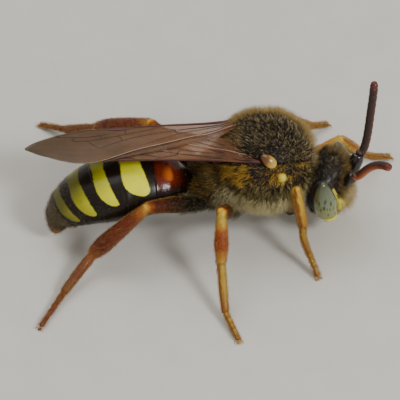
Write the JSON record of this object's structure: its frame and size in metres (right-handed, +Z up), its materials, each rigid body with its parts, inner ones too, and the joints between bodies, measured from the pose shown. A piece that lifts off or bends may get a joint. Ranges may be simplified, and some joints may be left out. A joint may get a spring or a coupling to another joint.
{
  "type": "male nomad bee",
  "caption": "Life-size still model of a slender black, yellow and rust-red nomad bee, standing with its smoky wings folded over its banded abdomen.",
  "frame": {"origin": "on the floor, under the middle of the bee's outline seen from above", "axes": "+X from tail to head, +Y to the bee's left, +Z up"},
  "size_m": [0.013, 0.0112, 0.0053],
  "materials": {
    "coat": "fine dense hair, black-brown on the back and golden on the sides",
    "black_cuticle": "black pitted cuticle with a low sheen and short hair",
    "eye": "pale grey-green compound eye, facets too fine to see singly",
    "yellow_cuticle": "lemon yellow, smooth, slightly waxy",
    "orange_cuticle": "red-orange with yellow ends, satin, fine short hair",
    "rust_cuticle": "dark red-brown, glossy",
    "banded_cuticle": "black with a lemon-yellow band, satin, finely pitted",
    "olive_cuticle": "olive to amber brown, satin",
    "amber_cuticle": "amber orange, satin",
    "feeler": "dark brown above and red-orange below, dull and velvety",
    "wing_membrane": "smoky brown clear membrane with dark brown veins"
  },
  "bodies": {
    "root": {"forewing_left": "wing_membrane", "hindwing_left": "wing_membrane", "tegula_left": "amber_cuticle", "pronotal_lobe_left": "yellow_cuticle", "forewing_right": "wing_membrane", "hindwing_right": "wing_membrane", "tegula_right": "amber_cuticle", "pronotal_lobe_right": "yellow_cuticle", "coxa_fore_right": "black_cuticle", "femur_fore_right": "rust_cuticle", "tibia_fore_right": "orange_cuticle", "heel_fore_right": "amber_cuticle", "foot_fore_right": "amber_cuticle", "coxa_mid_right": "black_cuticle", "femur_mid_right": "rust_cuticle", "tibia_mid_right": "orange_cuticle", "heel_mid_right": "amber_cuticle", "foot_mid_right": "amber_cuticle", "coxa_hind_right": "black_cuticle", "femur_hind_right": "rust_cuticle", "tibia_hind_right": "orange_cuticle", "heel_hind_right": "amber_cuticle", "foot_hind_right": "amber_cuticle", "coxa_fore_left": "black_cuticle", "femur_fore_left": "rust_cuticle", "tibia_fore_left": "orange_cuticle", "heel_fore_left": "amber_cuticle", "foot_fore_left": "amber_cuticle", "coxa_mid_left": "black_cuticle", "femur_mid_left": "rust_cuticle", "tibia_mid_left": "orange_cuticle", "heel_mid_left": "amber_cuticle", "foot_mid_left": "amber_cuticle", "coxa_hind_left": "black_cuticle", "femur_hind_left": "rust_cuticle", "tibia_hind_left": "orange_cuticle", "heel_hind_left": "amber_cuticle", "foot_hind_left": "amber_cuticle", "thorax": "coat", "scutellum": "rust_cuticle", "propodeum": "coat", "collar": "black_cuticle", "eye_left": "eye", "eye_right": "eye", "mandible_left": "yellow_cuticle", "mandible_right": "yellow_cuticle", "scape_left": "black_cuticle", "flagellum_left": "feeler", "scape_right": "black_cuticle", "flagellum_right": "feeler", "clypeus": "yellow_cuticle", "head": "black_cuticle", "abdomen_1": "rust_cuticle", "abdomen_2": "banded_cuticle", "abdomen_3": "banded_cuticle", "abdomen_4": "banded_cuticle", "abdomen_5": "banded_cuticle", "abdomen_6": "olive_cuticle", "abdomen_7": "olive_cuticle"}
  },
  "joints": []
}
